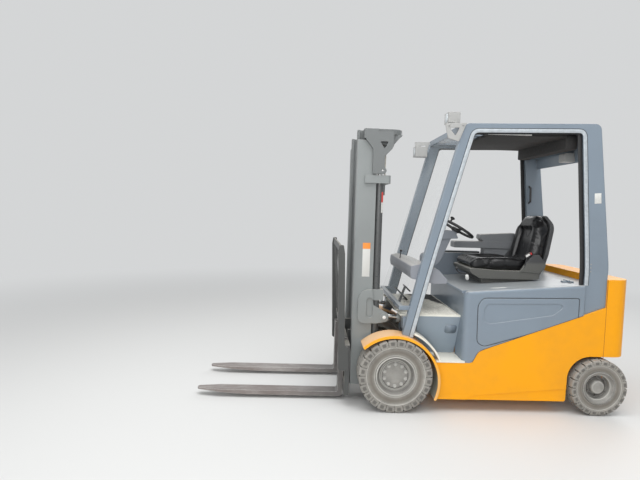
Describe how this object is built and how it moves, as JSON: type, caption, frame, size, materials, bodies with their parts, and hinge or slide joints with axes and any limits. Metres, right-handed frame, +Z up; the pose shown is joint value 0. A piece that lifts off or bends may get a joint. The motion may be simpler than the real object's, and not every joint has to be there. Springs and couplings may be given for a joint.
{
  "type": "counterbalance forklift truck",
  "caption": "Four-wheel electric counterbalance forklift with two-stage mast, forks, open cab with overhead guard and rear-wheel steering.",
  "frame": {"origin": "centre of the bounding box, on the floor under the tyres", "axes": "+X forward along the forks, +Y to the left of the truck, +Z up"},
  "size_m": [3.466, 1.22, 2.368],
  "materials": {
    "tyre": "dusty grey solid rubber",
    "rim": "grey paint, dusty",
    "yellow": "yellow-orange paint, worn and dusty",
    "blue_grey": "blue-grey paint, satin",
    "mast_grey": "dark grey paint with greasy rails",
    "fork_steel": "dark grey paint, worn at the tips",
    "chrome": "polished rod",
    "chain": "oiled chain",
    "cast": "dark axle housing",
    "beige": "dusty beige floor and steps",
    "black": "black moulded plastic",
    "seat": "black vinyl",
    "grey_plastic": "grey moulded plastic",
    "glass": "clear glass",
    "lamp": "silver bracket and lamp",
    "orange_brown": "orange paint browned by dust",
    "battery": "dark battery tray"
  },
  "bodies": {
    "chassis": {"chassis_frame": "yellow", "battery": "battery", "counterweight": "yellow", "tow_pin": "chain", "front_fenders": "orange_brown", "steps": "beige", "footwell_sides": "blue_grey", "cab_floor": "beige", "seat_box_front": "blue_grey", "side_panels": "blue_grey", "side_console": "grey_plastic", "rear_deck": "blue_grey", "overhead_guard": "blue_grey", "roof_panel": "blue_grey", "cowl": "grey_plastic", "windscreens": "glass", "pedals": "black", "work_lamps": "lamp", "grab_handle": "black", "rear_grab_handle": "black", "drive_axle": "cast", "steer_axle": "cast"},
    "front_wheel_left": {"front_tyre_left": "tyre", "front_rim_left": "rim"},
    "front_wheel_right": {"front_tyre_right": "tyre", "front_rim_right": "rim"},
    "knuckle_left": {"knuckle_left": "cast"},
    "knuckle_right": {"knuckle_right": "cast"},
    "rear_wheel_left": {"rear_tyre_left": "tyre", "rear_rim_left": "rim"},
    "rear_wheel_right": {"rear_tyre_right": "tyre", "rear_rim_right": "rim"},
    "mast_outer": {"mast_outer_frame": "mast_grey", "mast_cylinder_clamps": "mast_grey", "mast_upper_tie": "mast_grey", "lift_cylinders": "mast_grey", "lift_chains_rear": "chain"},
    "mast_inner": {"mast_inner_frame": "mast_grey", "lift_rods": "chrome", "lift_chain_wraps": "chain", "lift_chains_front": "chain"},
    "carriage": {"fork_carriage": "fork_steel", "load_backrest": "fork_steel"},
    "fork_left": {"fork_left": "fork_steel"},
    "fork_right": {"fork_right": "fork_steel"},
    "tilt_cylinder_left": {"tilt_cylinder_left": "mast_grey"},
    "tilt_cylinder_right": {"tilt_cylinder_right": "mast_grey"},
    "tilt_rod_left": {"tilt_rod_left": "chrome"},
    "tilt_rod_right": {"tilt_rod_right": "chrome"},
    "hood": {"hood": "blue_grey", "seat_frame": "grey_plastic", "seat_cushion": "seat", "seat_back": "seat", "armrest_console": "grey_plastic"},
    "steering_column": {"steering_column": "grey_plastic"},
    "steering_wheel": {"steering_wheel": "black"}
  },
  "joints": [
    {"name": "front_wheel_left_spin", "type": "hinge", "parent": "chassis", "child": "front_wheel_left", "pos_m": [0.125, 0.505, 0.292], "axis": [0, 1, 0], "continuous": true},
    {"name": "front_wheel_right_spin", "type": "hinge", "parent": "chassis", "child": "front_wheel_right", "pos_m": [0.125, -0.505, 0.292], "axis": [0, 1, 0], "continuous": true},
    {"name": "steer_left", "type": "hinge", "parent": "chassis", "child": "knuckle_left", "pos_m": [-1.503, 0.43, 0.2265], "axis": [0, 0, 1], "range_deg": [-70, 70]},
    {"name": "steer_right", "type": "hinge", "parent": "chassis", "child": "knuckle_right", "pos_m": [-1.503, -0.43, 0.2265], "axis": [0, 0, 1], "range_deg": [-70, 70]},
    {"name": "rear_wheel_left_spin", "type": "hinge", "parent": "knuckle_left", "child": "rear_wheel_left", "pos_m": [-1.503, 0.517, 0.2265], "axis": [0, 1, 0], "continuous": true},
    {"name": "rear_wheel_right_spin", "type": "hinge", "parent": "knuckle_right", "child": "rear_wheel_right", "pos_m": [-1.503, -0.517, 0.2265], "axis": [0, 1, 0], "continuous": true},
    {"name": "mast_tilt", "type": "hinge", "parent": "chassis", "child": "mast_outer", "pos_m": [0.125, 0, 0.292], "axis": [0, 1, 0], "range_deg": [-8, 6]},
    {"name": "mast_lift", "type": "slide", "parent": "mast_outer", "child": "mast_inner", "axis": [0, 0, 1], "range_m": [0, 1.5], "deforming": ["lift_chains_rear"]},
    {"name": "carriage_lift", "type": "slide", "parent": "mast_inner", "child": "carriage", "axis": [0, 0, 1], "range_m": [0, 1.5], "deforming": ["lift_chains_front"]},
    {"name": "fork_left_shift", "type": "slide", "parent": "carriage", "child": "fork_left", "axis": [0, 1, 0], "range_m": [-0.215, 0.14]},
    {"name": "fork_right_shift", "type": "slide", "parent": "carriage", "child": "fork_right", "axis": [0, 1, 0], "range_m": [-0.14, 0.215]},
    {"name": "tilt_cylinder_left_swing", "type": "hinge", "parent": "chassis", "child": "tilt_cylinder_left", "pos_m": [-0.33, 0.305, 0.64], "axis": [0, 1, 0], "range_deg": [-1.88, 1.41]},
    {"name": "tilt_rod_left_slide", "type": "slide", "parent": "tilt_cylinder_left", "child": "tilt_rod_left", "axis": [0.9909, 0, 0.1344], "range_m": [-0.057, 0.0428]},
    {"name": "tilt_cylinder_right_swing", "type": "hinge", "parent": "chassis", "child": "tilt_cylinder_right", "pos_m": [-0.33, -0.305, 0.64], "axis": [0, 1, 0], "range_deg": [-1.88, 1.41]},
    {"name": "tilt_rod_right_slide", "type": "slide", "parent": "tilt_cylinder_right", "child": "tilt_rod_right", "axis": [0.9909, 0, 0.1344], "range_m": [-0.057, 0.0428]},
    {"name": "hood_lift", "type": "hinge", "parent": "chassis", "child": "hood", "pos_m": [-1.315, 0, 1.046], "axis": [0, 1, 0], "range_deg": [-36, 0]},
    {"name": "column_tilt", "type": "hinge", "parent": "chassis", "child": "steering_column", "pos_m": [-0.247, 0, 1.108], "axis": [0, 1, 0], "range_deg": [0, 24.5]},
    {"name": "steering_wheel_spin", "type": "hinge", "parent": "steering_column", "child": "steering_wheel", "pos_m": [-0.484, 0, 1.446], "axis": [-0.5, 0, 0.866], "continuous": true}
  ],
  "couplings": [
    {"joint": "steer_right", "follows": "steer_left", "ratio": 1},
    {"joint": "carriage_lift", "follows": "mast_lift", "ratio": 1},
    {"joint": "column_tilt", "follows": "hood_lift", "ratio": -0.68},
    {"joint": "tilt_cylinder_left_swing", "follows": "mast_tilt", "ratio": 0.23433},
    {"joint": "tilt_rod_left_slide", "follows": "mast_tilt", "m_per_rad": 0.40816},
    {"joint": "tilt_cylinder_right_swing", "follows": "mast_tilt", "ratio": 0.23433},
    {"joint": "tilt_rod_right_slide", "follows": "mast_tilt", "m_per_rad": 0.40816}
  ]
}
